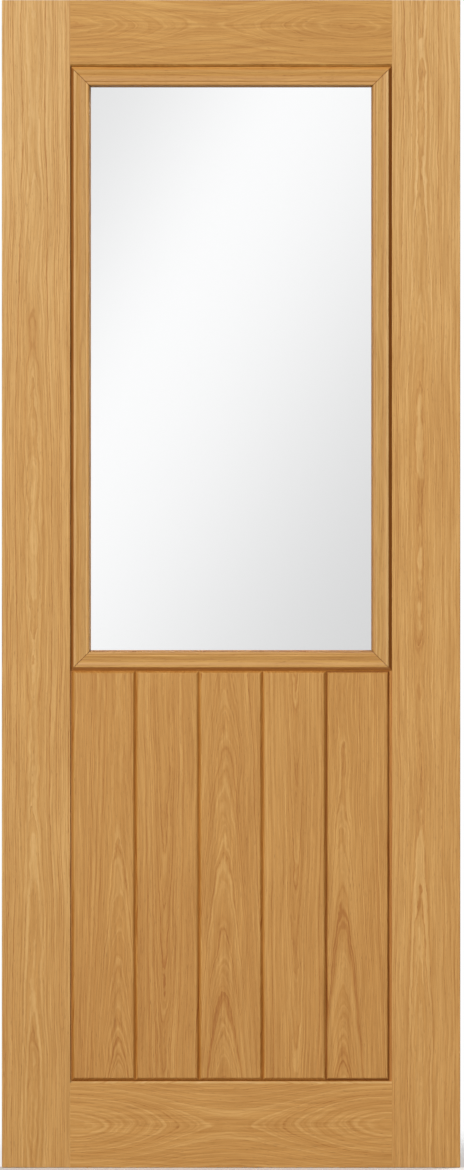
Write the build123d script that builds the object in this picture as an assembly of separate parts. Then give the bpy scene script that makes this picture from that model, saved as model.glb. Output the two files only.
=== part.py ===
from build123d import *
import os

# A glazed timber fire door leaf: two stiles and three rails around a lower panel of
# tongued and grooved boards and an upper pane of fire glass held by mitred beads.
# The leaf stands upright. X runs across it from the hinge edge at 0, Y runs through
# its thickness with the front at -Y, and Z is up from the bottom edge at 0.
# The origin is on the hinge edge, at mid thickness, at the foot of the leaf.
# All sizes are in millimetres. A depth is measured inward from the leaf's face.

# The leaf
leaf_width = 838.0
leaf_height = 2134.0
leaf_thickness = 44.0

# Stiles, with a solid lipping on each long edge
stile_width = 125.0
lipping_thickness = 10.0
edge_arris = 1.5

# Rails
top_rail_height = 121.0
top_rail_chamfer = 4.0
bottom_rail_height = 158.0
bottom_rail_chamfer = 5.0

# The groove round the framing, and the tongues that fill it
tongue_thickness = 24.0
tongue_length = 8.0
tongue_side_gap = 0.1
tongue_end_gap = 0.5

# The boards of the lower panel
panel_height = 750.0
board_count = 5
board_recess = 1.0
hinge_side_quirk = 3.0
lock_side_quirk = 4.5
board_chamfer_width = 4.5
board_chamfer_depth = 4.5
board_top_chamfer = 5.0
board_foot_chamfer = 6.0
board_tongue_thickness = 10.0
board_tongue_length = 8.0
mid_rail_cover = 40.0

# The glass and its tapes
glass_thickness = 7.0
glass_edge_cover = 10.5
glass_edge_gap = 3.0
tape_thickness = 2.0
tape_width = 10.0
tape_setback = 0.5

# The mitred bead, from its outer edge to the sight line
bead_width = 37.5
bead_seat_gap = 0.5
bead_crest_depth = 1.2
bead_bevel_width = 6.5
bead_bevel_foot = 6.5
bead_land_width = 4.0
bead_cove_width = 6.0
bead_cove_drop = 1.2
bead_cove_bow = 0.3
bead_hollow_rise = 0.6
bead_hollow_bow = 0.2
bead_quirk_width = 2.0
bead_quirk_drop = 1.0
bead_astragal_width = 5.5
bead_astragal_bow = 0.6
bead_nose_width = 3.5
bead_nose_depth = 13.0
bead_nose_bow = 0.8

# Derived places
half_thickness = leaf_thickness / 2
tongue_depth = (leaf_thickness - tongue_thickness) / 2
inner_left = stile_width
inner_right = leaf_width - stile_width
inner_width = inner_right - inner_left
aperture_bottom = bottom_rail_height + panel_height
aperture_top = leaf_height - top_rail_height
aperture_height = aperture_top - aperture_bottom
liner_width = bead_width - glass_edge_cover - glass_edge_gap
glass_inset = bead_width - glass_edge_cover
nose_back_depth = half_thickness - glass_thickness / 2 - tape_thickness
board_pitch = (inner_width - hinge_side_quirk - lock_side_quirk) / board_count


def block(x_low, x_high, y_low, y_high, z_low, z_high):
    """A rectangular block between two corners."""
    size = (x_high - x_low, y_high - y_low, z_high - z_low)
    corner = (Align.MIN, Align.MIN, Align.MIN)
    return Pos(x_low, y_low, z_low) * Box(*size, align=corner)


def slab(x_low, x_high, thickness, z_low, z_high):
    """A block centred on the leaf's mid plane."""
    return block(x_low, x_high, -thickness / 2, thickness / 2, z_low, z_high)


def framing_groove(x_low, x_high, z_low, z_high):
    """The space that a framing tongue goes into, with its side gap."""
    return slab(x_low, x_high, tongue_thickness + 2 * tongue_side_gap, z_low, z_high)


def lipping():
    """The solid strip on the hinge edge, its two outer arrises rounded."""
    strip = slab(0, lipping_thickness, leaf_thickness, 0, leaf_height)
    outer_edges = strip.edges().filter_by(Axis.Z).group_by(Axis.X)[0]
    return fillet(outer_edges, edge_arris)


def stile():
    """The stile on the hinge side, grooved down its inner edge."""
    post = slab(lipping_thickness, inner_left, leaf_thickness, 0, leaf_height)
    groove_floor = inner_left - tongue_length - tongue_end_gap
    return post - framing_groove(groove_floor, inner_left, 0, leaf_height)


def opposite_edge(shape):
    """The same piece on the lock side of the leaf."""
    centre_line = Plane.YZ.offset(leaf_width / 2)
    return mirror(shape, about=centre_line)


def rail_blank(z_low, z_high):
    """A rail between the stiles, with a stub tenon in each stile's groove."""
    body = slab(inner_left, inner_right, leaf_thickness, z_low, z_high)
    tenon_left = inner_left - tongue_length
    tenon_right = inner_right + tongue_length
    return body + slab(tenon_left, tenon_right, tongue_thickness, z_low, z_high)


def face_edges(body, height):
    """The two long edges of a rail or board where its faces meet this level."""
    level = body.edges().filter_by(Axis.X).filter_by_position(Axis.Z, height, height)
    return level.group_by(Axis.Y)[0] + level.group_by(Axis.Y)[-1]


def top_rail():
    rail = rail_blank(aperture_top, leaf_height)
    rail = chamfer(face_edges(rail, aperture_top), top_rail_chamfer)
    groove_roof = aperture_top + tongue_length + tongue_end_gap
    return rail - framing_groove(0, leaf_width, aperture_top, groove_roof)


def bottom_rail():
    rail = rail_blank(0, bottom_rail_height)
    rail = chamfer(face_edges(rail, bottom_rail_height), bottom_rail_chamfer)
    groove_floor = bottom_rail_height - tongue_length - tongue_end_gap
    return rail - framing_groove(0, leaf_width, groove_floor, bottom_rail_height)


def mid_rail():
    """The thin rail that carries the glass and goes down inside the boards."""
    return slab(
        inner_left - tongue_length,
        inner_right + tongue_length,
        tongue_thickness,
        aperture_bottom - mid_rail_cover,
        aperture_bottom + liner_width,
    )


def top_liner():
    """The aperture lining under the top rail, its tongue up in the rail's groove."""
    return slab(
        inner_left - tongue_length,
        inner_right + tongue_length,
        tongue_thickness,
        aperture_top - liner_width,
        aperture_top + tongue_length,
    )


def side_liner():
    """The aperture lining on the hinge side, its tongue in the stile's groove."""
    return slab(
        inner_left - tongue_length,
        inner_left + liner_width,
        tongue_thickness,
        aperture_bottom + liner_width,
        aperture_top - liner_width,
    )


def board_outline(left, right):
    """A board's plan: a rectangle with its four long arrises chamfered."""
    width = board_chamfer_width
    depth = board_chamfer_depth
    half = half_thickness - board_recess
    corners = [
        (left + width, -half),
        (right - width, -half),
        (right, -half + depth),
        (right, half - depth),
        (right - width, half),
        (left + width, half),
        (left, half - depth),
        (left, -half + depth),
    ]
    return make_face(Polyline(*corners, close=True))


def board(index):
    """One board, counted from the hinge side, with its tongues and grooves."""
    left = inner_left + hinge_side_quirk + index * board_pitch
    right = left + board_pitch
    first = index == 0
    last = index == board_count - 1

    body = Pos(0, 0, bottom_rail_height) * extrude(board_outline(left, right), panel_height)
    body = chamfer(face_edges(body, bottom_rail_height), board_foot_chamfer)
    body = chamfer(face_edges(body, aperture_bottom), board_top_chamfer)

    # Beside a stile the board has a flat quirk as deep as its chamfer
    quirk_thickness = 2 * (half_thickness - board_recess - board_chamfer_depth)
    if first:
        body += slab(inner_left, left, quirk_thickness, bottom_rail_height, aperture_bottom)
    if last:
        body += slab(right, inner_right, quirk_thickness, bottom_rail_height, aperture_bottom)

    # The thick tongue goes down into the bottom rail, and on an outer board
    # past the quirk into the stile
    core_left = inner_left - tongue_length if first else left
    core_right = inner_right + tongue_length if last else right
    foot = bottom_rail_height - tongue_length
    body += slab(core_left, core_right, tongue_thickness, foot, aperture_bottom)

    if not last:
        tip = right + board_tongue_length
        body += slab(right, tip, board_tongue_thickness, foot, aperture_bottom)
    if not first:
        floor = left + board_tongue_length + tongue_end_gap
        width = board_tongue_thickness + 2 * tongue_side_gap
        body -= slab(left, floor, width, foot, aperture_bottom)

    # The slot in the head, for the mid rail
    slot_floor = aperture_bottom - mid_rail_cover - tongue_end_gap
    return body - framing_groove(0, leaf_width, slot_floor, aperture_bottom)


def bead_section():
    """The bead's section: X is the distance in from its outer edge, Y is the depth."""
    land_start = bead_bevel_width
    land_end = land_start + bead_land_width
    hollow_start = land_end + bead_cove_width
    nose_start = bead_width - bead_nose_width
    astragal_start = nose_start - bead_astragal_width
    hollow_end = astragal_start - bead_quirk_width
    step = liner_width + bead_seat_gap

    cove_depth = bead_crest_depth + bead_cove_drop
    hollow_end_depth = cove_depth - bead_hollow_rise
    quirk_depth = hollow_end_depth + bead_quirk_drop

    bevel_foot = (0, bead_bevel_foot)
    crest_start = (land_start, bead_crest_depth)
    crest_end = (land_end, bead_crest_depth)
    cove_end = (hollow_start, cove_depth)
    quirk_top = (hollow_end, hollow_end_depth)
    quirk_foot = (astragal_start, quirk_depth)
    nose_top = (nose_start, quirk_depth)
    nose_foot = (bead_width, bead_nose_depth)

    # A bow with a minus sign swells out of the face
    outline = Polyline((0, tongue_depth), bevel_foot, crest_start, crest_end)
    outline += SagittaArc(crest_end, cove_end, bead_cove_bow)
    outline += SagittaArc(cove_end, quirk_top, bead_hollow_bow)
    outline += Line(quirk_top, quirk_foot)
    outline += SagittaArc(quirk_foot, nose_top, -bead_astragal_bow)
    outline += SagittaArc(nose_top, nose_foot, -bead_nose_bow)
    outline += Polyline(
        nose_foot,
        (bead_width, nose_back_depth),
        (step, nose_back_depth),
        (step, tongue_depth),
        (0, tongue_depth),
    )
    return make_face(outline)


def bead(length):
    """One bead with its mitres: X along it from its middle, Y inward, Z its depth."""
    stick = extrude(Plane.YZ * bead_section(), length / 2, both=True)
    half = length / 2
    mitre_plan = Polyline(
        (-half, 0), (half, 0), (half - bead_width, bead_width), (-half + bead_width, bead_width),
        close=True,
    )
    return stick & extrude(make_face(mitre_plan), half_thickness)


def glazing_strip(length, height, width):
    """A flat strip on the glass: X along it from its middle, Y inward, Z its depth."""
    corner = (Align.CENTER, Align.MIN, Align.MIN)
    setback = bead_width - tape_setback - width
    return Pos(0, setback, nose_back_depth) * Box(length, width, height, align=corner)


def aperture_sides():
    """For each side of the aperture: its name, the middle of its outer edge, its
    direction in towards the glass, and its outer length."""
    middle_x = leaf_width / 2
    middle_z = (aperture_bottom + aperture_top) / 2
    return [
        ("top", (middle_x, aperture_top), (0, -1), inner_width),
        ("bottom", (middle_x, aperture_bottom), (0, 1), inner_width),
        ("left", (inner_left, middle_z), (1, 0), aperture_height),
        ("right", (inner_right, middle_z), (-1, 0), aperture_height),
    ]


def glazing_pieces():
    """The beads and the tapes of both faces, by name."""
    pieces = {}
    for face, outward in (("front", -1), ("back", 1)):
        for side, (x, z), (inward_x, inward_z), length in aperture_sides():
            into_leaf = Vector(0, -outward, 0)
            inward = Vector(inward_x, 0, inward_z)
            seat = Plane(
                origin=(x, outward * half_thickness, z),
                x_dir=inward.cross(into_leaf),
                z_dir=into_leaf,
            )
            pieces[f"{face}_{side}_bead"] = seat.location * bead(length)

            # The strips at the top and bottom run past the ends of the side strips
            end_inset = bead_width - tape_setback
            if side in ("top", "bottom"):
                end_inset -= tape_width
            strip = glazing_strip(length - 2 * end_inset, tape_thickness, tape_width)
            pieces[f"{face}_{side}_glazing_tape"] = seat.location * strip
    return pieces


def glass_pane():
    return slab(
        inner_left + glass_inset,
        inner_right - glass_inset,
        glass_thickness,
        aperture_bottom + glass_inset,
        aperture_top - glass_inset,
    )


def leaf():
    """Every piece of the leaf, by name."""
    pieces = {
        "hinge_edge_lipping": lipping(),
        "lock_edge_lipping": opposite_edge(lipping()),
        "hinge_stile": stile(),
        "lock_stile": opposite_edge(stile()),
        "top_rail": top_rail(),
        "mid_rail": mid_rail(),
        "bottom_rail": bottom_rail(),
        "top_aperture_liner": top_liner(),
        "left_aperture_liner": side_liner(),
        "right_aperture_liner": opposite_edge(side_liner()),
        "glass_pane": glass_pane(),
    }
    for index in range(board_count):
        pieces[f"panel_board_{index + 1}"] = board(index)
    pieces.update(glazing_pieces())
    return pieces


os.makedirs("parts", exist_ok=True)
for name, piece in leaf().items():
    export_step(piece, f"parts/{name}.step")
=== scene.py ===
import math

import bmesh
import bpy
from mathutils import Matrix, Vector


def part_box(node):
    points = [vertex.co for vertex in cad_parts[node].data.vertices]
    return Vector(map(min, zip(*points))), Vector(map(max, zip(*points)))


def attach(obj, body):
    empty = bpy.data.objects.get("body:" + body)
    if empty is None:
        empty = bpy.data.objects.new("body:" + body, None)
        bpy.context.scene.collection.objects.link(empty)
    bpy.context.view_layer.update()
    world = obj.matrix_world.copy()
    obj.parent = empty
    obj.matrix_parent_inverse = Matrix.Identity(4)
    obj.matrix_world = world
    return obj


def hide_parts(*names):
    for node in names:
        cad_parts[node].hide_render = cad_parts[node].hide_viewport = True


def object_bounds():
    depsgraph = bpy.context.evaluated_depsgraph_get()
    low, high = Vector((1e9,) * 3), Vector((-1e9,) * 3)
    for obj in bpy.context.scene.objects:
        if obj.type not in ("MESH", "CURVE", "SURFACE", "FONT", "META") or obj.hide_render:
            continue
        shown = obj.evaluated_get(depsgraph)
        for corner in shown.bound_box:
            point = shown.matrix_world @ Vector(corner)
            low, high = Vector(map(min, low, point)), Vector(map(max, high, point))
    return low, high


# The looks of a glazed timber fire door leaf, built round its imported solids.
# The leaf's frame: X across from the hinge edge, Y through the thickness with the front
# at -Y, Z up. Every size is in metres.

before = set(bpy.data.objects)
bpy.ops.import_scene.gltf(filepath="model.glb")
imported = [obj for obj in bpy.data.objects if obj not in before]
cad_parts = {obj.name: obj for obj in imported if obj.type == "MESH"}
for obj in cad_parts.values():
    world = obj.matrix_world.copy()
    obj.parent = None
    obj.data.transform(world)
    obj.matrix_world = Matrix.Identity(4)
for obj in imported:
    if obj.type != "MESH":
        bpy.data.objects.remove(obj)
solid_low, solid_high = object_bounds()

BODY = "root"

# The leaf's sizes, from the frame
leaf_height = solid_high.z - solid_low.z
half_thickness = (solid_high.y - solid_low.y) / 2
leaf_middle_x = (solid_low.x + solid_high.x) / 2

# The arrises of the timber
ARRIS = 0.0005
STILE_ARRIS = 0.0003
LIPPING_ARRIS = 0.0002
ARRIS_STEPS = 2
ARRIS_ANGLE = math.radians(20)
LIPPING_ARRIS_ANGLE = math.radians(50)
SAME_POINT = 0.000002
FLAT_ANGLE = math.radians(0.5)
FLAT_FACE_WEIGHT = 100

# The bead's section, from its outer edge to the sight line; a depth is below the face
BEAD_BEVEL_WIDTH = 0.0065
BEAD_BEVEL_FOOT = 0.0065
BEAD_CREST_DEPTH = 0.0012
BEAD_LAND_WIDTH = 0.004
BEAD_COVE_WIDTH = 0.006
BEAD_COVE_DROP = 0.0012
BEAD_COVE_BOW = 0.0003
BEAD_HOLLOW_RISE = 0.0006
BEAD_HOLLOW_BOW = 0.0002
BEAD_QUIRK_WIDTH = 0.002
BEAD_QUIRK_DROP = 0.001
BEAD_ASTRAGAL_WIDTH = 0.0055
BEAD_ASTRAGAL_BOW = 0.0006
BEAD_NOSE_WIDTH = 0.0035
BEAD_NOSE_DEPTH = 0.013
BEAD_NOSE_BOW = 0.0008
BEAD_BACK_DEPTH = 0.0165
BEAD_TONGUE_DEPTH = 0.010
BEAD_STEP = 0.0245
BEAD_EASE = 0.0004
BEAD_JOINT_GAP = 0.0001
BEAD_SMOOTH_ANGLE = math.radians(30)
ARC_STEPS = 8

# Where a bead's painted light and shade fade: distances in from its outer edge, from a form's
# middle or from a mitre, and depths below the face
BEVEL_FADE = (BEAD_BEVEL_WIDTH - 0.0006, BEAD_BEVEL_WIDTH + 0.0002)
CREST_FADE_DEPTHS = (BEAD_CREST_DEPTH + 0.0001, BEAD_CREST_DEPTH + 0.0004)
COVE_MIDDLE = 0.016
COVE_FADE = (0.0010, 0.0040)
HOLLOW_MIDDLE = 0.0235
HOLLOW_FADE = (0.0020, 0.0045)
ASTRAGAL_MIDDLE = 0.0285
ASTRAGAL_FADE = (0.0005, 0.0025)
NOSE_START = 0.034
NOSE_END = NOSE_START + 0.001
NOSE_FADE = (NOSE_START - 0.002, NOSE_END)
SIGHT_LINE_DEPTHS = (0.0085, 0.0125)
MITRE_FADE = (0.0004, 0.0014)

# Oak, as colours on the finished surface
OAK_LIGHT = (0.640, 0.360, 0.120)
OAK_MIDDLE = (0.560, 0.285, 0.076)
OAK_DARK = (0.450, 0.186, 0.036)
OAK_PORE = (0.240, 0.083, 0.016)
FIBRE_DARK = (0.87, 0.81, 0.70)
FIBRE_LIGHT = (1.13, 1.19, 1.31)
RING_SPACING = 0.0020

# Noise in the oak's figure: cells a metre along the grain, cells a metre across it, and
# a shift that keeps it apart from the others
PITH_WANDER = (3.0, 4.0, 0.0)
PITH_DRIFT = (5.0, 9.0, 31.0)
RIPPLES = (24.0, 60.0, 57.0)
LINE_BREAKS = (32.0, 330.0, 5.0)
CLOUDS = (2.5, 14.0, 47.0)
PORE_DASHES = (75.0, 1300.0, 71.0)
FIBRE_RATE_ALONG = 7.0
FIBRE_RATE_ACROSS = 260.0
FIBRE_SHIFT = 11.0
FIBRE_SWERVE = 0.020
NOISE_MIDDLE = 0.5

# The rings' shape: the drift's share of the wander, how pointed the arches are over the
# pith, how round their points, and how high the ripples
DRIFT_SHARE = 0.25
ARCH_POINT = 0.04
ARCH_ROUNDING = 0.000004
RIPPLE_HEIGHT = 0.0022

# How fast the bands and the strength of a year's line change from ring to ring, and how
# far a band bends the years
BAND_RATE = 0.55
THIN_BAND_RATE = 2.7
STRENGTH_RATE = 1.37
YEAR_BEND = 0.9

# Where in a year its dark line rises and falls, and how faint breaks and weak years leave it
LINE_RISE = (0.35, 0.90)
LINE_FALL = (0.92, 1.0)
BREAK_SPAN = (0.30, 0.60)
BREAK_LEAVES = 0.35
STRENGTH_SPAN = (0.25, 0.75)
WEAK_YEAR = 0.15

# The weights of bands, line and clouds in the tone, and the tone of plain wood
BAND_WEIGHT = 0.60
THIN_BAND_WEIGHT = 0.80
LINE_WEIGHT = 0.38
CLOUD_WEIGHT = 0.35
PLAIN_TONE = 0.34

# How pores crowd on the lines and in the dark clouds, and where a dash becomes a pore
PORES_ON_LINE = 0.10
PORES_IN_CLOUD = 0.08
PORE_SPAN = (0.66, 0.76)

# The spans of tone and fibre that the oak's colours are mixed over
LIGHT_TO_MIDDLE = (0.0, 0.5)
MIDDLE_TO_DARK = (0.45, 1.0)
FIBRE_SPAN = (0.25, 0.75)
PORE_SHARE = 0.45

# End grain: how far a surface has to face along the grain, and its dots
END_FACING = (0.85, 0.97)
END_DOT_RATE = 1700.0
END_DOT_SPAN = (0.5, 0.7)
END_DOT_SHARE = 0.5
END_LINE_SHARE = 0.5
END_TINT = (0.80, 0.76, 0.72)

# The lacquer's roughness on fibre, pores and end grain, and the relief under it
FIBRE_ROUGH_SPAN = (0.2, 0.8)
SMOOTH_FIBRE = 0.40
ROUGH_FIBRE = 0.50
PORE_ROUGHNESS = 0.18
END_ROUGHNESS = 0.2
PORE_RELIEF = -0.7
FIBRE_RELIEF = 0.35
LINE_RELIEF = -0.25
RELIEF_STRENGTH = 0.35
RELIEF_DISTANCE = 0.00012
GLOSS_DEPTHS = (0.0045, 0.0090)
GLOSS_LEFT = 0.1
SPECULAR_LEVEL = 0.35
COAT_WEIGHT = 0.10
COAT_ROUGHNESS = 0.28

# How the oak's colour is multiplied on whole pieces: painted light and shade, and each piece's own tone
# Painted shade in the grooves, V joints and quirks, darker the deeper they lie
GROOVE_SHADE = (0.82, 0.70, 0.53)
GROOVE_SHADE_DARK = (0.54, 0.38, 0.25)
GROOVE_SHADE_DEEP = (0.44, 0.29, 0.19)
# Painted shade on the top rail's lower chamfer, in the groove above the top bead
GROOVE_SHADE_UNDER_RAIL = (1.03, 0.93, 0.78)
# Painted shade on the floor of the boards' quirks
QUIRK_FLOOR_SHADE = (0.87, 0.76, 0.59)
# A painted highlight on the bottom rail's upward facing top chamfer
CHAMFER_HIGHLIGHT = (1.13, 1.38, 2.15)
TOP_RAIL_TINT = (0.90, 0.84, 0.60)
BOTTOM_RAIL_TINT = (0.97, 0.92, 0.78)
BOARD_TINT = (0.93, 0.87, 0.71)
BEAD_TINT = (0.97, 0.95, 0.89)
# A painted sheen towards the head and painted shade towards the foot of stiles and boards
HEAD_SHEEN = (1.035, 1.095, 1.24)
FOOT_SHADE = (0.965, 0.94, 0.90)
# Painted shade in the beads' mitre joints
MITRE_SHADE = (0.60, 0.46, 0.32)
# Painted shade on the beads' noses at the sight line
SIGHT_LINE_SHADE = (0.48, 0.34, 0.18)

# The heights between which stiles and boards get a painted sheen above and painted shade below
HEAD_SHEEN_HEIGHTS = (1.30, 1.85)
FOOT_SHADE_HEIGHTS = (0.30, 0.60)

# Painted light and shade that multiply the oak's colour on each bead, from the outer edge to the
# sight line: each side's forms lighter or darker as light falls on them there
BEAD_LIGHT_AND_SHADE = {
    "top": {
        "bevel": (1.0, 0.95, 0.83),
        "crest": (0.98, 0.97, 0.90),
        "cove": (0.94, 0.91, 0.74),
        "hollow": (0.92, 0.88, 0.71),
        "astragal": (0.97, 0.95, 0.85),
        "nose": (0.92, 0.86, 0.70),
    },
    "bottom": {
        "bevel": (0.74, 0.57, 0.41),
        "crest": (0.95, 0.94, 0.78),
        "cove": (0.98, 0.97, 0.80),
        "hollow": (0.90, 0.88, 0.76),
        "astragal": (1.02, 1.04, 1.05),
        "nose": (0.66, 0.58, 0.43),
    },
    "left": {
        "bevel": (0.54, 0.38, 0.23),
        "crest": (1.10, 1.20, 1.52),
        "cove": (0.90, 0.87, 0.78),
        "hollow": (0.90, 0.91, 0.83),
        "astragal": (1.12, 1.27, 1.60),
        "nose": (0.78, 0.76, 0.73),
    },
    "right": {
        "bevel": (0.40, 0.26, 0.13),
        "crest": (1.09, 1.24, 1.62),
        "cove": (0.91, 0.93, 0.93),
        "hollow": (1.01, 1.09, 1.22),
        "astragal": (1.06, 1.22, 1.65),
        "nose": (0.68, 0.60, 0.46),
    },
}
UNTINTED = (1.0, 1.0, 1.0, 1.0)

# The beads' figures follow on each other, and the pith lies well off to one side
BEAD_FIRST_SEED = 61.0
BEAD_SEED_STEP = 5.0
BEAD_PITH_ASIDE = 0.11

# The hidden lining timber, its streaks as cells a metre along and across the grain
LINING = (0.40, 0.20, 0.07)
LINING_DARKEST = 0.7
LINING_RATE_ALONG = 5.0
LINING_RATE_ACROSS = 300.0
LINING_RELIEF = 0.0001
LINING_ROUGHNESS = 0.6

# The glazing tape's cells
TAPE_MIDDLE = (0.14, 0.085, 0.04)
TAPE_EDGE = (0.09, 0.05, 0.025)
TAPE_CELL_RATE = 1400.0
TAPE_RELIEF = 0.0002
TAPE_ROUGHNESS = 0.85

# The glass, with the faint ripple of its surface
GLASS = (0.960, 0.965, 0.970)
GLASS_IOR = 1.52
GLASS_RIPPLE_RATE = 3.0
GLASS_RIPPLE_STRENGTH = 0.05
GLASS_RIPPLE_DISTANCE = 0.0002

# The floor as it is seen and as it bounces light, and the distances from the leaf over
# which it turns from a lit floor into plain white
FLOOR_REACH = 20.0
FLOOR_DROP = 0.0005
FLOOR_SEEN = (0.88, 0.88, 0.88)
FLOOR_BOUNCE = (0.30, 0.29, 0.275)
FLOOR_FADE = (0.5, 1.6)
FLOOR_ROUGHNESS = 0.9
BLACK = (0.0, 0.0, 0.0)
WHITE = (1.0, 1.0, 1.0)

# The studio's light, and the grey sweep in the glass: its slant, and the spans over which
# it turns from grey to white and back
STUDIO_COLOUR = (1.0, 0.985, 0.96)
STUDIO_STRENGTH = 0.26
SWEEP_SLANT = 0.55
SWEEP_LOWER_SPAN = (-0.020, 0.020)
SWEEP_LOWER_GREY = 0.695
SWEEP_UPPER_SPAN = (0.019, 0.040)
SWEEP_UPPER_GREY = 0.80

# The lamps: name, place, height aimed at as a share of the leaf's, size, watts and spread
LAMPS = (
    ("key", (-4.5, -13.5, 8.0), 0.75, 6.0, 445.0, 80.0),
    ("back_fill", (6.0, 7.5, 6.5), 0.5, 5.0, 850.0, 180.0),
)

# The camera stands square on, where the photograph's did
PHOTO_WIDTH = 464
PHOTO_HEIGHT = 1170
PHOTO_FOOT_ROW = 1167.5
PHOTO_MIDDLE_COLUMN = 231.1
CAMERA_DISTANCE = 20.0
CAMERA_REACH = 200.0
SENSOR = 36.0


class Nodes:
    """Adds nodes to one tree. Each call gives back an output socket."""

    def __init__(self, tree):
        self.tree = tree

    def add(self, kind, values, output=0, **settings):
        node = self.tree.nodes.new(kind)
        for name, setting in settings.items():
            setattr(node, name, setting)
        for place, value in values.items():
            self.put(node.inputs[place], value)
        return node.outputs[output]

    def put(self, socket, value):
        """Links a socket to a value that is a socket itself, or else sets it."""
        if isinstance(value, bpy.types.NodeSocket):
            self.tree.links.new(value, socket)
        else:
            socket.default_value = value

    def calc(self, operation, *values):
        return self.add("ShaderNodeMath", dict(enumerate(values)), operation=operation)

    def plus(self, a, b):
        return self.calc("ADD", a, b)

    def minus(self, a, b):
        return self.calc("SUBTRACT", a, b)

    def times(self, a, b):
        return self.calc("MULTIPLY", a, b)

    def times_plus(self, a, b, c):
        return self.calc("MULTIPLY_ADD", a, b, c)

    def ramp(self, value, low, high, out_low=0.0, out_high=1.0):
        """A smooth step of a value between two limits."""
        places = {"Value": value, "From Min": low, "From Max": high, "To Min": out_low, "To Max": out_high}
        return self.add("ShaderNodeMapRange", places, interpolation_type="SMOOTHSTEP")

    def vector(self, x, y, z):
        return self.add("ShaderNodeCombineXYZ", {0: x, 1: y, 2: z})

    def split(self, vector):
        node = self.tree.nodes.new("ShaderNodeSeparateXYZ")
        self.put(node.inputs[0], vector)
        return node.outputs

    def noise(self, vector, detail=2.0, roughness=0.5):
        """Noise at one cell a unit, about 0 to 1 with its middle at 0.5."""
        places = {"Vector": vector, "Scale": 1.0, "Detail": detail, "Roughness": roughness}
        return self.add("ShaderNodeTexNoise", places, noise_dimensions="3D")

    def line_noise(self, value, detail=1.0):
        """Noise along one number."""
        places = {"W": value, "Scale": 1.0, "Detail": detail}
        return self.add("ShaderNodeTexNoise", places, noise_dimensions="1D")

    def mix(self, factor, a, b, blend="MIX"):
        """A mix of two colours."""
        places = {0: factor, 6: a, 7: b}
        return self.add("ShaderNodeMix", places, output=2, data_type="RGBA", blend_type=blend)


def opaque(colour):
    return (*colour, 1.0)


def group_inputs(tree, names):
    """Declares a group's number inputs and gives back their sockets by name."""
    for name in names:
        tree.interface.new_socket(name, in_out="INPUT", socket_type="NodeSocketFloat")
    node = tree.nodes.new("NodeGroupInput")
    return {name: node.outputs[name] for name in names}


FIGURE_INPUTS = (
    "Along",
    "Across",
    "Depth",
    "Pith across",
    "Pith distance",
    "Rise",
    "Swell",
    "Swell start",
    "Swell length",
    "Wander",
    "Contrast",
    "Seed",
)


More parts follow.
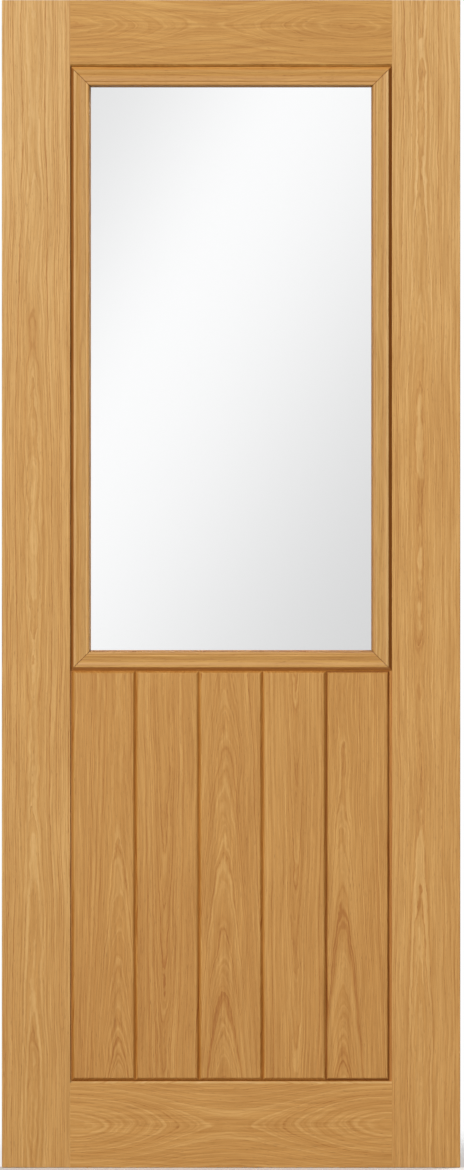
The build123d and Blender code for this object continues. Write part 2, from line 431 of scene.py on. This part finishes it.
def make_figure_group():
    """Oak's figure at one point: Tone is 0 in light wood to 1 in dark, Pores is 1 in an
    open pore, Fibre is a fine streak from 0 to 1, and Line is 1 on a year's dark line.
    Rings lie round a pith line that runs along the piece and rises, swells and wanders,
    so that a sawn face cuts them into arches and ovals."""
    tree = bpy.data.node_groups.new("oak_figure", "ShaderNodeTree")
    nodes = Nodes(tree)
    given = group_inputs(tree, FIGURE_INPUTS)
    along, across, depth, seed = (given[n] for n in ("Along", "Across", "Depth", "Seed"))

    def stretched(along_rate, across_rate, shift):
        """The point scaled for noise, so many cells to a metre along and across."""
        return nodes.vector(
            nodes.times_plus(along, along_rate, nodes.plus(seed, shift)),
            nodes.times(across, across_rate),
            nodes.times(depth, across_rate),
        )

    # The pith's place beside this point, with its slow wander
    slow = nodes.minus(nodes.noise(stretched(*PITH_WANDER), detail=1.0), NOISE_MIDDLE)
    drift = nodes.minus(nodes.noise(stretched(*PITH_DRIFT), detail=1.0), NOISE_MIDDLE)
    sideways = nodes.minus(across, given["Pith across"])
    sideways = nodes.times_plus(slow, given["Wander"], sideways)
    turn = nodes.calc("DIVIDE", nodes.minus(along, given["Swell start"]), given["Swell length"])
    wave = nodes.calc("COSINE", nodes.times(turn, 2 * math.pi))
    distance = nodes.times_plus(given["Rise"], along, given["Pith distance"])
    distance = nodes.minus(distance, nodes.times(given["Swell"], wave))
    distance = nodes.times_plus(drift, nodes.times(given["Wander"], DRIFT_SHARE), distance)
    distance = nodes.minus(distance, depth)

    # The distance from the pith, a little pointed over it, with fine ripples
    squares = nodes.plus(nodes.times(sideways, sideways), nodes.times(distance, distance))
    radius = nodes.calc("SQRT", squares)
    aside = nodes.calc("SQRT", nodes.times_plus(sideways, sideways, ARCH_ROUNDING))
    radius = nodes.times_plus(aside, ARCH_POINT, radius)
    ripple = nodes.minus(nodes.noise(stretched(*RIPPLES), detail=3.0), NOISE_MIDDLE)
    radius = nodes.times_plus(ripple, RIPPLE_HEIGHT, radius)
    ring = nodes.calc("DIVIDE", radius, RING_SPACING)

    # Bands of uneven width, and in each year a broken dark line that builds up and ends sharply
    band = nodes.line_noise(nodes.times_plus(ring, BAND_RATE, seed), detail=1.0)
    thin_band = nodes.line_noise(nodes.times_plus(ring, THIN_BAND_RATE, seed), detail=1.0)
    bent = nodes.times_plus(band, YEAR_BEND, ring)
    year = nodes.calc("FRACT", bent)
    year_number = nodes.calc("FLOOR", bent)
    strength = nodes.line_noise(nodes.times_plus(year_number, STRENGTH_RATE, seed), detail=0.0)
    rise_side = nodes.ramp(year, *LINE_RISE)
    fall_side = nodes.ramp(year, *LINE_FALL, 1.0, 0.0)
    breaks = nodes.noise(stretched(*LINE_BREAKS), detail=1.0)
    broken = nodes.ramp(breaks, *BREAK_SPAN, BREAK_LEAVES, 1.0)
    line = nodes.times(rise_side, fall_side)
    line = nodes.times(line, nodes.ramp(strength, *STRENGTH_SPAN, WEAK_YEAR, 1.0))
    line = nodes.times(line, broken)

    # Fine fibre that swerves with the pith, and broad clouds
    swerve = nodes.times_plus(drift, FIBRE_SWERVE, sideways)
    fibre_point = nodes.vector(
        nodes.times_plus(along, FIBRE_RATE_ALONG, nodes.plus(seed, FIBRE_SHIFT)),
        nodes.times(swerve, FIBRE_RATE_ACROSS),
        nodes.times(depth, FIBRE_RATE_ACROSS),
    )
    fine = nodes.noise(fibre_point, detail=3.0, roughness=0.7)
    cloud = nodes.noise(stretched(*CLOUDS), detail=2.0)
    figure = nodes.times(nodes.minus(band, NOISE_MIDDLE), BAND_WEIGHT)
    figure = nodes.times_plus(nodes.minus(thin_band, NOISE_MIDDLE), THIN_BAND_WEIGHT, figure)
    figure = nodes.times_plus(line, LINE_WEIGHT, figure)
    figure = nodes.times_plus(nodes.minus(cloud, NOISE_MIDDLE), CLOUD_WEIGHT, figure)
    tone = nodes.times_plus(figure, given["Contrast"], PLAIN_TONE)
    tone = nodes.calc("MAXIMUM", nodes.calc("MINIMUM", tone, 1.0), 0.0)

    dash = nodes.noise(stretched(*PORE_DASHES), detail=1.0)
    crowd = nodes.times_plus(nodes.minus(cloud, NOISE_MIDDLE), PORES_IN_CLOUD, dash)
    crowd = nodes.times_plus(line, PORES_ON_LINE, crowd)
    pores = nodes.ramp(crowd, *PORE_SPAN)

    outputs = tree.nodes.new("NodeGroupOutput")
    for name, value in (("Tone", tone), ("Pores", pores), ("Fibre", fine), ("Line", line)):
        tree.interface.new_socket(name, in_out="OUTPUT", socket_type="NodeSocketFloat")
        tree.links.new(value, outputs.inputs[name])
    return tree


figure_group = make_figure_group()


def below_face(nodes, y):
    """How far a point lies below the face of the leaf that it is on."""
    return nodes.minus(half_thickness, nodes.calc("ABSOLUTE", y))


def by_depth(*bands):
    """Painted light and shade: one tint after another, each between two depths below the face."""

    def shade(nodes, x, y, z):
        colour = UNTINTED
        for shallow, deep, tint in bands:
            colour = nodes.mix(nodes.ramp(below_face(nodes, y), shallow, deep), colour, opaque(tint))
        return colour

    return shade


def by_height(finish):
    """The given painted shade, with a painted sheen towards the head of the leaf and painted shade towards
    its foot.
    """

    def shade(nodes, x, y, z):
        colour = nodes.mix(nodes.ramp(z, *HEAD_SHEEN_HEIGHTS), UNTINTED, opaque(HEAD_SHEEN))
        colour = nodes.mix(nodes.ramp(z, *FOOT_SHADE_HEIGHTS, 1.0, 0.0), colour, opaque(FOOT_SHADE))
        return nodes.mix(1.0, colour, finish(nodes, x, y, z), "MULTIPLY")

    return shade


def oak(name, grain, tint, seed, shade, **figure):
    """An oak finish for one piece. The grain runs along X or Z. Its tint and the colour
    that shade works out at a point both multiply the wood's own colour."""
    material = bpy.data.materials.new(name)
    material.use_nodes = True
    tree = material.node_tree
    nodes = Nodes(tree)
    surface = tree.nodes["Principled BSDF"]

    point = nodes.add("ShaderNodeTexCoord", {}, output="Object")
    x, y, z = nodes.split(point)
    along, across = (z, x) if grain == "Z" else (x, z)
    group = tree.nodes.new("ShaderNodeGroup")
    group.node_tree = figure_group
    given = {"Along": along, "Across": across, "Depth": y, "Seed": seed, **figure}
    for socket, value in given.items():
        nodes.put(group.inputs[socket], value)
    tone, pores, fibre, line = (group.outputs[n] for n in ("Tone", "Pores", "Fibre", "Line"))

    # Long grain on the faces and edges
    colour = nodes.mix(nodes.ramp(tone, *LIGHT_TO_MIDDLE), opaque(OAK_LIGHT), opaque(OAK_MIDDLE))
    colour = nodes.mix(nodes.ramp(tone, *MIDDLE_TO_DARK), colour, opaque(OAK_DARK))
    streak = nodes.mix(nodes.ramp(fibre, *FIBRE_SPAN), opaque(FIBRE_DARK), opaque(FIBRE_LIGHT))
    colour = nodes.mix(1.0, colour, streak, "MULTIPLY")
    colour = nodes.mix(nodes.times(pores, PORE_SHARE), colour, opaque(OAK_PORE))

    # End grain where the surface lies across the grain
    facing = nodes.split(nodes.add("ShaderNodeNewGeometry", {}, output="True Normal"))
    end_on = nodes.calc("ABSOLUTE", facing[2] if grain == "Z" else facing[0])
    end_share = nodes.ramp(end_on, *END_FACING)
    dot_point = nodes.vector(nodes.times(across, END_DOT_RATE), nodes.times(y, END_DOT_RATE), seed)
    dots = nodes.ramp(nodes.noise(dot_point, detail=1.0), *END_DOT_SPAN, 0.0, END_DOT_SHARE)
    end_tone = nodes.times_plus(line, END_LINE_SHARE, dots)
    end_colour = nodes.mix(end_tone, opaque(OAK_MIDDLE), opaque(OAK_PORE))
    end_colour = nodes.mix(1.0, end_colour, opaque(END_TINT), "MULTIPLY")
    colour = nodes.mix(end_share, colour, end_colour)

    colour = nodes.mix(1.0, colour, opaque(tint), "MULTIPLY")
    colour = nodes.mix(1.0, colour, shade(nodes, x, y, z), "MULTIPLY")
    nodes.put(surface.inputs["Base Color"], colour)

    rough = nodes.ramp(fibre, *FIBRE_ROUGH_SPAN, SMOOTH_FIBRE, ROUGH_FIBRE)
    rough = nodes.times_plus(pores, PORE_ROUGHNESS, rough)
    nodes.put(surface.inputs["Roughness"], nodes.times_plus(end_share, END_ROUGHNESS, rough))
    height = nodes.times_plus(fibre, FIBRE_RELIEF, nodes.times(line, LINE_RELIEF))
    height = nodes.times_plus(pores, PORE_RELIEF, height)
    bump = {"Strength": RELIEF_STRENGTH, "Distance": RELIEF_DISTANCE, "Height": height}
    nodes.put(surface.inputs["Normal"], nodes.add("ShaderNodeBump", bump))

    # The gloss fails in the depths of the grooves and round the nose of a bead
    gloss = nodes.ramp(below_face(nodes, y), *GLOSS_DEPTHS, 1.0, GLOSS_LEFT)
    nodes.put(surface.inputs["Specular IOR Level"], nodes.times(gloss, SPECULAR_LEVEL))
    nodes.put(surface.inputs["Coat Weight"], nodes.times(gloss, COAT_WEIGHT))
    surface.inputs["Coat Roughness"].default_value = COAT_ROUGHNESS
    return material


def eased(node, material, arris=ARRIS):
    """A copy of a solid with its sharp arrises eased and its flat faces shaded flat,
    standing for that solid."""
    mesh = bpy.data.meshes.new(node)
    work = bmesh.new()
    work.from_mesh(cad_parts[node].data)
    bmesh.ops.remove_doubles(work, verts=work.verts, dist=SAME_POINT)
    bmesh.ops.dissolve_limit(
        work, angle_limit=FLAT_ANGLE, verts=work.verts, edges=work.edges, use_dissolve_boundaries=False
    )
    for face in work.faces:
        face.smooth = True
    work.to_mesh(mesh)
    work.free()
    piece = bpy.data.objects.new(f"{node}_timber", mesh)
    bpy.context.scene.collection.objects.link(piece)
    mesh.materials.append(material)
    bevel = piece.modifiers.new("arris", "BEVEL")
    bevel.width = arris
    bevel.segments = ARRIS_STEPS
    bevel.limit_method = "ANGLE"
    bevel.angle_limit = ARRIS_ANGLE
    flatten = piece.modifiers.new("flat_faces", "WEIGHTED_NORMAL")
    flatten.mode = "FACE_AREA"
    flatten.weight = FLAT_FACE_WEIGHT
    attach(piece, BODY)
    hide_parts(node)
    return piece


def bowed(start, end, bow):
    """Points after start on an arc to end. A bow above 0 sags deeper below the face."""
    (x0, y0), (x1, y1) = start, end
    chord = math.hypot(x1 - x0, y1 - y0)
    radius = (chord**2 / 4 + bow**2) / (2 * abs(bow))
    half_angle = math.asin(chord / 2 / radius)
    side = 1 if bow > 0 else -1
    along = ((x1 - x0) / chord, (y1 - y0) / chord)
    normal = (-along[1] * side, along[0] * side)
    points = []
    for step in range(1, ARC_STEPS + 1):
        angle = half_angle * (2 * step / ARC_STEPS - 1)
        forward = chord / 2 + radius * math.sin(angle)
        out = radius * math.cos(angle) - radius * math.cos(half_angle)
        x = x0 + along[0] * forward + normal[0] * out
        y = y0 + along[1] * forward + normal[1] * out
        points.append((x, y))
    return points


def bead_section(width):
    """The bead's outline as points of (distance in from its outer edge, depth)."""
    land_start = BEAD_BEVEL_WIDTH
    land_end = land_start + BEAD_LAND_WIDTH
    hollow_start = land_end + BEAD_COVE_WIDTH
    nose_start = width - BEAD_NOSE_WIDTH
    astragal_start = nose_start - BEAD_ASTRAGAL_WIDTH
    hollow_end = astragal_start - BEAD_QUIRK_WIDTH
    cove_depth = BEAD_CREST_DEPTH + BEAD_COVE_DROP
    hollow_end_depth = cove_depth - BEAD_HOLLOW_RISE
    quirk_depth = hollow_end_depth + BEAD_QUIRK_DROP

    crest_end = (land_end, BEAD_CREST_DEPTH)
    cove_end = (hollow_start, cove_depth)
    quirk_top = (hollow_end, hollow_end_depth)
    quirk_foot = (astragal_start, quirk_depth)
    nose_top = (nose_start, quirk_depth)
    nose_foot = (width, BEAD_NOSE_DEPTH)
    outline = [(0, BEAD_TONGUE_DEPTH), (0, BEAD_BEVEL_FOOT), (land_start, BEAD_CREST_DEPTH), crest_end]
    outline += bowed(crest_end, cove_end, BEAD_COVE_BOW)
    outline += bowed(cove_end, quirk_top, BEAD_HOLLOW_BOW)
    outline.append(quirk_foot)
    outline += bowed(quirk_foot, nose_top, -BEAD_ASTRAGAL_BOW)
    outline += bowed(nose_top, nose_foot, -BEAD_NOSE_BOW)
    outline += [
        (width, BEAD_BACK_DEPTH),
        (BEAD_STEP, BEAD_BACK_DEPTH),
        (BEAD_STEP, BEAD_TONGUE_DEPTH),
    ]
    return outline


def shrunk(outline, amount):
    """The outline moved inward, square to its sides, by a small amount."""
    moved = []
    for index, here in enumerate(outline):
        before = Vector(outline[index - 1])
        after = Vector(outline[(index + 1) % len(outline)])
        here = Vector(here)
        first = (here - before).normalized()
        second = (after - here).normalized()
        inward = Vector((-first.y - second.y, first.x + second.x)).normalized()
        moved.append(tuple(here + inward * amount))
    return moved


def bead(node, material):
    """A mitred bead in the place of its solid, its mitres a hair apart and eased."""
    low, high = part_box(node)
    face, side = node.split("_")[:2]
    outward = -1 if face == "front" else 1
    upright = side in ("left", "right")
    length = high.z - low.z if upright else high.x - low.x
    width = high.x - low.x if upright else high.z - low.z
    outline = bead_section(width)

    def place(along, inward, depth):
        """A point of the bead in the leaf's frame."""
        y = outward * (half_thickness - depth)
        if side == "left":
            return (low.x + inward, y, low.z + along)
        if side == "right":
            return (high.x - inward, y, low.z + along)
        if side == "bottom":
            return (low.x + along, y, low.z + inward)
        return (low.x + along, y, high.z - inward)

    small = shrunk(outline, BEAD_EASE)
    rings = [
        (small, lambda inward: inward + BEAD_JOINT_GAP),
        (outline, lambda inward: inward + BEAD_JOINT_GAP + BEAD_EASE),
        (outline, lambda inward: length - inward - BEAD_JOINT_GAP - BEAD_EASE),
        (small, lambda inward: length - inward - BEAD_JOINT_GAP),
    ]
    work = bmesh.new()
    made = [
        [work.verts.new(place(cut(full[0]), *part)) for full, part in zip(outline, section)]
        for section, cut in rings
    ]
    count = len(outline)
    for first, second in zip(made, made[1:]):
        for index in range(count):
            other = (index + 1) % count
            work.faces.new((first[index], first[other], second[other], second[index]))
    work.faces.new(made[0])
    work.faces.new(reversed(made[-1]))
    bmesh.ops.recalc_face_normals(work, faces=work.faces)
    for face in work.faces:
        face.smooth = True
    mesh = bpy.data.meshes.new(node)
    work.to_mesh(mesh)
    work.free()
    mesh.set_sharp_from_angle(angle=BEAD_SMOOTH_ANGLE)
    mesh.materials.append(material)
    piece = bpy.data.objects.new(f"{node}_moulding", mesh)
    bpy.context.scene.collection.objects.link(piece)
    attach(piece, BODY)
    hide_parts(node)


def make_framing():
    """The stiles with their lippings, and the rails."""
    # Painted shade on the stiles' sides deep in the grooves beside them, with a painted sheen towards the
    # head and painted shade towards the foot
    flat = by_height(by_depth((0.0050, 0.0065, GROOVE_SHADE)))
    # Painted shade on the top rail's lower chamfer
    shade_under_rail = by_depth((0.0010, 0.0035, GROOVE_SHADE_UNDER_RAIL))
    # A painted highlight on the bottom rail's top chamfer, and painted shade deeper in the groove above it
    highlight_and_shade_top = by_depth((0.0002, 0.0012, CHAMFER_HIGHLIGHT), (0.0034, 0.0050, GROOVE_SHADE))
    # Each stile's side, pith, seed and tint
    stiles = (
        ("hinge", 0.058, 41.3, (1.01, 1.02, 0.99)),
        ("lock", 0.765, 83.6, (1.02, 1.02, 0.98)),
    )
    for side, pith, seed, tint in stiles:
        figure = {
            "Pith across": pith,
            "Pith distance": 0.045,
            "Rise": 0.0035,
            "Swell": 0.0014,
            "Swell start": 0.2,
            "Swell length": 1.1,
            "Wander": 0.012,
            "Contrast": 1.35,
        }
        finish = oak(f"oak_{side}_stile", "Z", tint, seed, flat, **figure)
        eased(f"{side}_stile", finish, arris=STILE_ARRIS)
        piece = eased(f"{side}_edge_lipping", finish, arris=LIPPING_ARRIS)
        piece.modifiers["arris"].angle_limit = LIPPING_ARRIS_ANGLE

    top = {
        "Pith across": 2.0883,
        "Pith distance": 0.060,
        "Rise": 0.0,
        "Swell": 0.0075,
        "Swell start": 0.125,
        "Swell length": 0.51,
        "Wander": 0.008,
        "Contrast": 1.1,
    }
    finish = oak("oak_top_rail", "X", TOP_RAIL_TINT, 7.4, shade_under_rail, **top)
    eased("top_rail", finish)
    bottom = {
        "Pith across": 0.0785,
        "Pith distance": 0.095,
        "Rise": 0.0,
        "Swell": 0.010,
        "Swell start": 0.125,
        "Swell length": 0.588,
        "Wander": 0.008,
        "Contrast": 1.2,
    }
    finish = oak("oak_bottom_rail", "X", BOTTOM_RAIL_TINT, 19.7, highlight_and_shade_top, **bottom)
    eased("bottom_rail", finish)


def make_boards():
    """The five boards: crown cut on the first, third and last, straighter between."""
    # Each board's pith and its distance, rise and swell, its seed, and the painted shade in its V joints
    boards = (
        (0.2137, 0.030, 0.024, 0.006, 3.2, GROOVE_SHADE),
        (0.2960, 0.022, -0.013, 0.000, 13.9, GROOVE_SHADE),
        (0.4070, 0.055, 0.034, 0.002, 29.1, GROOVE_SHADE),
        (0.5375, 0.020, -0.012, 0.000, 37.5, GROOVE_SHADE),
        (0.6215, 0.030, 0.024, 0.006, 53.8, GROOVE_SHADE_DEEP),
    )
    for index, (pith, distance, rise, swell, seed, groove_shade) in enumerate(boards, start=1):
        figure = {
            "Pith across": pith,
            "Pith distance": distance,
            "Rise": rise,
            "Swell": swell,
            "Swell start": -0.2,
            "Swell length": 1.5,
            "Wander": 0.012,
            "Contrast": 1.5,
        }
        # Painted shade in the V joints, on the quirk floors and deepest in the grooves
        grooved = by_depth(
            (0.0012, 0.0045, groove_shade),
            (0.00530, 0.00545, QUIRK_FLOOR_SHADE),
            (0.0058, 0.0068, GROOVE_SHADE_DARK),
        )
        # by_height adds a painted sheen towards the head and painted shade towards the foot
        finish = oak(f"oak_board_{index}", "Z", BOARD_TINT, seed, by_height(grooved), **figure)
        eased(f"panel_board_{index}", finish)


def bead_shade(node):
    """Painted light and shade on a bead: each form across it lighter or darker as light falls
    on it on this side of the opening, and painted shade in the mitres and at the sight line."""
    low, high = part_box(node)
    side = node.split("_")[1]
    length = high.z - low.z if side in ("left", "right") else high.x - low.x

    def shade(nodes, x, y, z):
        if side == "left":
            inward, along = nodes.minus(x, low.x), nodes.minus(z, low.z)
        elif side == "right":
            inward, along = nodes.minus(high.x, x), nodes.minus(z, low.z)
        elif side == "bottom":
            inward, along = nodes.minus(z, low.z), nodes.minus(x, low.x)
        else:
            inward, along = nodes.minus(high.z, z), nodes.minus(x, low.x)

        def near(middle, fade):
            """1 near a distance in from the outer edge, 0 further off on both sides."""
            off = nodes.calc("ABSOLUTE", nodes.minus(inward, middle))
            return nodes.ramp(off, *fade, 1.0, 0.0)

        depth = below_face(nodes, y)
        shares = {
            "bevel": nodes.ramp(inward, *BEVEL_FADE, 1.0, 0.0),
            "crest": nodes.ramp(depth, *CREST_FADE_DEPTHS, 1.0, 0.0),
            "cove": near(COVE_MIDDLE, COVE_FADE),
            "hollow": near(HOLLOW_MIDDLE, HOLLOW_FADE),
            "astragal": near(ASTRAGAL_MIDDLE, ASTRAGAL_FADE),
            "nose": nodes.ramp(inward, *NOSE_FADE),
        }
        sight_line_shade = nodes.ramp(depth, *SIGHT_LINE_DEPTHS)
        inner = nodes.ramp(inward, NOSE_START, NOSE_END)
        from_start = nodes.minus(along, inward)
        from_end = nodes.minus(nodes.minus(length, along), inward)
        mitre = nodes.ramp(nodes.calc("MINIMUM", from_start, from_end), *MITRE_FADE, 1.0, 0.0)
        # Each form's painted light and shade for this side of the opening
        colour = UNTINTED
        for part, share in shares.items():
            colour = nodes.mix(share, colour, opaque(BEAD_LIGHT_AND_SHADE[side][part]))
        # Painted shade at the sight line, deep on the nose
        colour = nodes.mix(nodes.times(sight_line_shade, inner), colour, opaque(SIGHT_LINE_SHADE))
        # Painted shade along the mitres
        return nodes.mix(mitre, colour, opaque(MITRE_SHADE))

    return shade


def make_beads():
    """The eight glazing beads, straight grained along their length."""
    seed = BEAD_FIRST_SEED
    for face in ("front", "back"):
        for side in ("top", "bottom", "left", "right"):
            upright = side in ("left", "right")
            node = f"{face}_{side}_bead"
            low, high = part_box(node)
            figure = {
                "Pith across": (low.x if upright else low.z) - BEAD_PITH_ASIDE,
                "Pith distance": 0.05,
                "Rise": 0.004,
                "Swell": 0.001,
                "Swell start": 0.0,
                "Swell length": 0.9,
                "Wander": 0.005,
                "Contrast": 0.9,
            }
            grain = "Z" if upright else "X"
            finish = oak(f"oak_{node}", grain, BEAD_TINT, seed, bead_shade(node), **figure)
            bead(node, finish)
            seed += BEAD_SEED_STEP


def plain_wood(name, colour, grain):
    """Planed hardwood that is hidden behind the beads."""
    material = bpy.data.materials.new(name)
    material.use_nodes = True
    nodes = Nodes(material.node_tree)
    surface = material.node_tree.nodes["Principled BSDF"]
    x, y, z = nodes.split(nodes.add("ShaderNodeTexCoord", {}, output="Object"))
    rate_x = LINING_RATE_ALONG if grain == "X" else LINING_RATE_ACROSS
    rate_z = LINING_RATE_ALONG if grain == "Z" else LINING_RATE_ACROSS
    point = nodes.vector(nodes.times(x, rate_x), nodes.times(y, LINING_RATE_ACROSS), nodes.times(z, rate_z))
    streak = nodes.noise(point, detail=3.0)
    dark = tuple(part * LINING_DARKEST for part in colour)
    nodes.put(surface.inputs["Base Color"], nodes.mix(streak, opaque(dark), opaque(colour)))
    bump = nodes.add("ShaderNodeBump", {"Distance": LINING_RELIEF, "Height": streak})
    nodes.put(surface.inputs["Normal"], bump)
    surface.inputs["Roughness"].default_value = LINING_ROUGHNESS
    return material


def foam_tape():
    """Closed cell glazing tape, a brown strip between bead and glass."""
    material = bpy.data.materials.new("glazing_tape")
    material.use_nodes = True
    nodes = Nodes(material.node_tree)
    surface = material.node_tree.nodes["Principled BSDF"]
    point = nodes.add("ShaderNodeTexCoord", {}, output="Object")
    places = {"Vector": point, "Scale": TAPE_CELL_RATE}
    cells = nodes.add("ShaderNodeTexVoronoi", places, output="Distance")
    nodes.put(surface.inputs["Base Color"], nodes.mix(cells, opaque(TAPE_MIDDLE), opaque(TAPE_EDGE)))
    bump = nodes.add("ShaderNodeBump", {"Distance": TAPE_RELIEF, "Height": cells})
    nodes.put(surface.inputs["Normal"], bump)
    surface.inputs["Roughness"].default_value = TAPE_ROUGHNESS
    return material


def clear_glass():
    """Clear fire glass with its faint grey body."""
    material = bpy.data.materials.new("clear_glass")
    material.use_nodes = True
    nodes = Nodes(material.node_tree)
    surface = material.node_tree.nodes["Principled BSDF"]
    point = nodes.add("ShaderNodeTexCoord", {}, output="Object")
    places = {"Vector": point, "Scale": GLASS_RIPPLE_RATE, "Detail": 1.0}
    ripple = nodes.add("ShaderNodeTexNoise", places)
    relief = {"Strength": GLASS_RIPPLE_STRENGTH, "Distance": GLASS_RIPPLE_DISTANCE, "Height": ripple}
    nodes.put(surface.inputs["Normal"], nodes.add("ShaderNodeBump", relief))
    surface.inputs["Base Color"].default_value = opaque(GLASS)
    surface.inputs["Roughness"].default_value = 0.0
    surface.inputs["IOR"].default_value = GLASS_IOR
    surface.inputs["Transmission Weight"].default_value = 1.0
    return material


def dress(node, material):
    """Gives a solid that keeps its own shape its finish."""
    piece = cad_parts[node]
    piece.data.materials.clear()
    piece.data.materials.append(material)
    return piece


def make_glazing():
    """The glass, its tapes and the timber that carries them."""
    dress("glass_pane", clear_glass()).visible_shadow = False
    tape = foam_tape()
    for face in ("front", "back"):
        for side in ("top", "bottom", "left", "right"):
            dress(f"{face}_{side}_glazing_tape", tape)
    along_x = plain_wood("lining_timber_across", LINING, "X")
    along_z = plain_wood("lining_timber_upright", LINING, "Z")
    dress("mid_rail", along_x)
    dress("top_aperture_liner", along_x)
    dress("left_aperture_liner", along_z)
    dress("right_aperture_liner", along_z)


def make_floor():
    """A pale floor under the leaf, dimmer for the light that bounces off it."""
    reach = FLOOR_REACH
    level = solid_low.z - FLOOR_DROP
    corners = [(-reach, -reach), (reach, -reach), (reach, reach), (-reach, reach)]
    mesh = bpy.data.meshes.new("floor")
    mesh.from_pydata([(leaf_middle_x + x, y, level) for x, y in corners], [], [(0, 1, 2, 3)])
    floor = bpy.data.objects.new("floor", mesh)
    bpy.context.scene.collection.objects.link(floor)
    material = bpy.data.materials.new("pale_floor")
    material.use_nodes = True
    nodes = Nodes(material.node_tree)
    surface = material.node_tree.nodes["Principled BSDF"]
    seen = seen_ray(nodes)
    near = nodes.mix(seen, opaque(FLOOR_BOUNCE), opaque(FLOOR_SEEN))
    point = nodes.split(nodes.add("ShaderNodeTexCoord", {}, output="Object"))
    offset = nodes.vector(nodes.minus(point["X"], leaf_middle_x), point["Y"], 0.0)
    distance = nodes.add("ShaderNodeVectorMath", {0: offset}, output="Value", operation="LENGTH")
    far = nodes.times(seen, nodes.ramp(distance, *FLOOR_FADE))
    nodes.put(surface.inputs["Base Color"], nodes.mix(far, near, opaque(BLACK)))
    surface.inputs["Emission Color"].default_value = opaque(WHITE)
    nodes.put(surface.inputs["Emission Strength"], far)
    surface.inputs["Roughness"].default_value = FLOOR_ROUGHNESS
    surface.inputs["Specular IOR Level"].default_value = 0.0
    mesh.materials.append(material)


def seen_ray(nodes):
    """1 for a ray that shows its target, straight or in a mirror or through glass."""
    path = nodes.tree.nodes.new("ShaderNodeLightPath")
    seen = nodes.calc("MAXIMUM", path.outputs["Is Camera Ray"], path.outputs["Is Glossy Ray"])
    return nodes.calc("MAXIMUM", seen, path.outputs["Is Transmission Ray"])


def make_world():
    """A white studio that shows a faint grey sweep in and through the glass."""
    world = bpy.data.worlds.new("studio")
    bpy.context.scene.world = world
    world.use_nodes = True
    tree = world.node_tree
    nodes = Nodes(tree)
    tree.nodes.clear()
    path = tree.nodes.new("ShaderNodeLightPath")
    studio = {"Color": opaque(STUDIO_COLOUR), "Strength": STUDIO_STRENGTH}
    light = nodes.add("ShaderNodeBackground", studio)
    white = nodes.add("ShaderNodeBackground", {"Color": opaque(WHITE), "Strength": 1.0})
    behind = nodes.add("ShaderNodeBackground", {"Color": sweep(nodes), "Strength": 1.0})
    mirrored = nodes.calc("MAXIMUM", path.outputs["Is Glossy Ray"], path.outputs["Is Transmission Ray"])
    shown = nodes.add("ShaderNodeMixShader", {0: mirrored, 1: light, 2: behind})
    shown = nodes.add("ShaderNodeMixShader", {0: path.outputs["Is Camera Ray"], 1: shown, 2: white})
    output = tree.nodes.new("ShaderNodeOutputWorld")
    tree.links.new(shown, output.inputs["Surface"])


def sweep(nodes):
    """The backdrop's grey by direction: white, with soft grey to each side of a slanted band."""
    direction = nodes.split(nodes.add("ShaderNodeTexCoord", {}, output="Generated"))
    slant = nodes.times_plus(direction["Z"], SWEEP_SLANT, nodes.times(direction["X"], -1.0))
    lower = nodes.ramp(slant, *SWEEP_LOWER_SPAN, SWEEP_LOWER_GREY, 1.0)
    upper = nodes.ramp(slant, *SWEEP_UPPER_SPAN, 1.0, SWEEP_UPPER_GREY)
    grey = nodes.times(lower, upper)
    return nodes.vector(grey, grey, grey)


def area_light(name, place, target, size, power, spread):
    """A square lamp that faces its target. Its spread is in degrees."""
    lamp = bpy.data.lights.new(name, "AREA")
    lamp.shape = "SQUARE"
    lamp.size = size
    lamp.energy = power
    lamp.spread = math.radians(spread)
    holder = bpy.data.objects.new(name, lamp)
    bpy.context.scene.collection.objects.link(holder)
    holder.location = place
    holder.rotation_mode = "QUATERNION"
    holder.rotation_quaternion = (Vector(target) - Vector(place)).to_track_quat("-Z", "Y")


def make_lights():
    """A key from high on the left, strongest on the upper half, and a fill on the back."""
    for name, place, height_share, size, power, spread in LAMPS:
        target = (leaf_middle_x, 0.0, leaf_height * height_share)
        area_light(name, place, target, size, power, spread)


def make_camera():
    """Square on, so far off that the leaf looks nearly flat, framed as the photograph is."""
    pixel = leaf_height / PHOTO_FOOT_ROW
    data = bpy.data.cameras.new("camera")
    data.sensor_width = SENSOR
    data.lens = SENSOR * CAMERA_DISTANCE / (PHOTO_HEIGHT * pixel)
    data.clip_end = CAMERA_REACH
    camera = bpy.data.objects.new("camera", data)
    bpy.context.scene.collection.objects.link(camera)
    shift_right = (PHOTO_WIDTH / 2 - PHOTO_MIDDLE_COLUMN) * pixel
    camera.location = (
        leaf_middle_x + shift_right,
        solid_low.y - CAMERA_DISTANCE,
        solid_low.z + (PHOTO_FOOT_ROW - PHOTO_HEIGHT / 2) * pixel,
    )
    camera.rotation_euler = (math.radians(90), 0.0, 0.0)
    bpy.context.scene.camera = camera


make_framing()
make_boards()
make_beads()
make_glazing()
make_floor()
make_world()
make_lights()
make_camera()
bpy.context.scene.view_settings.view_transform = "Standard"
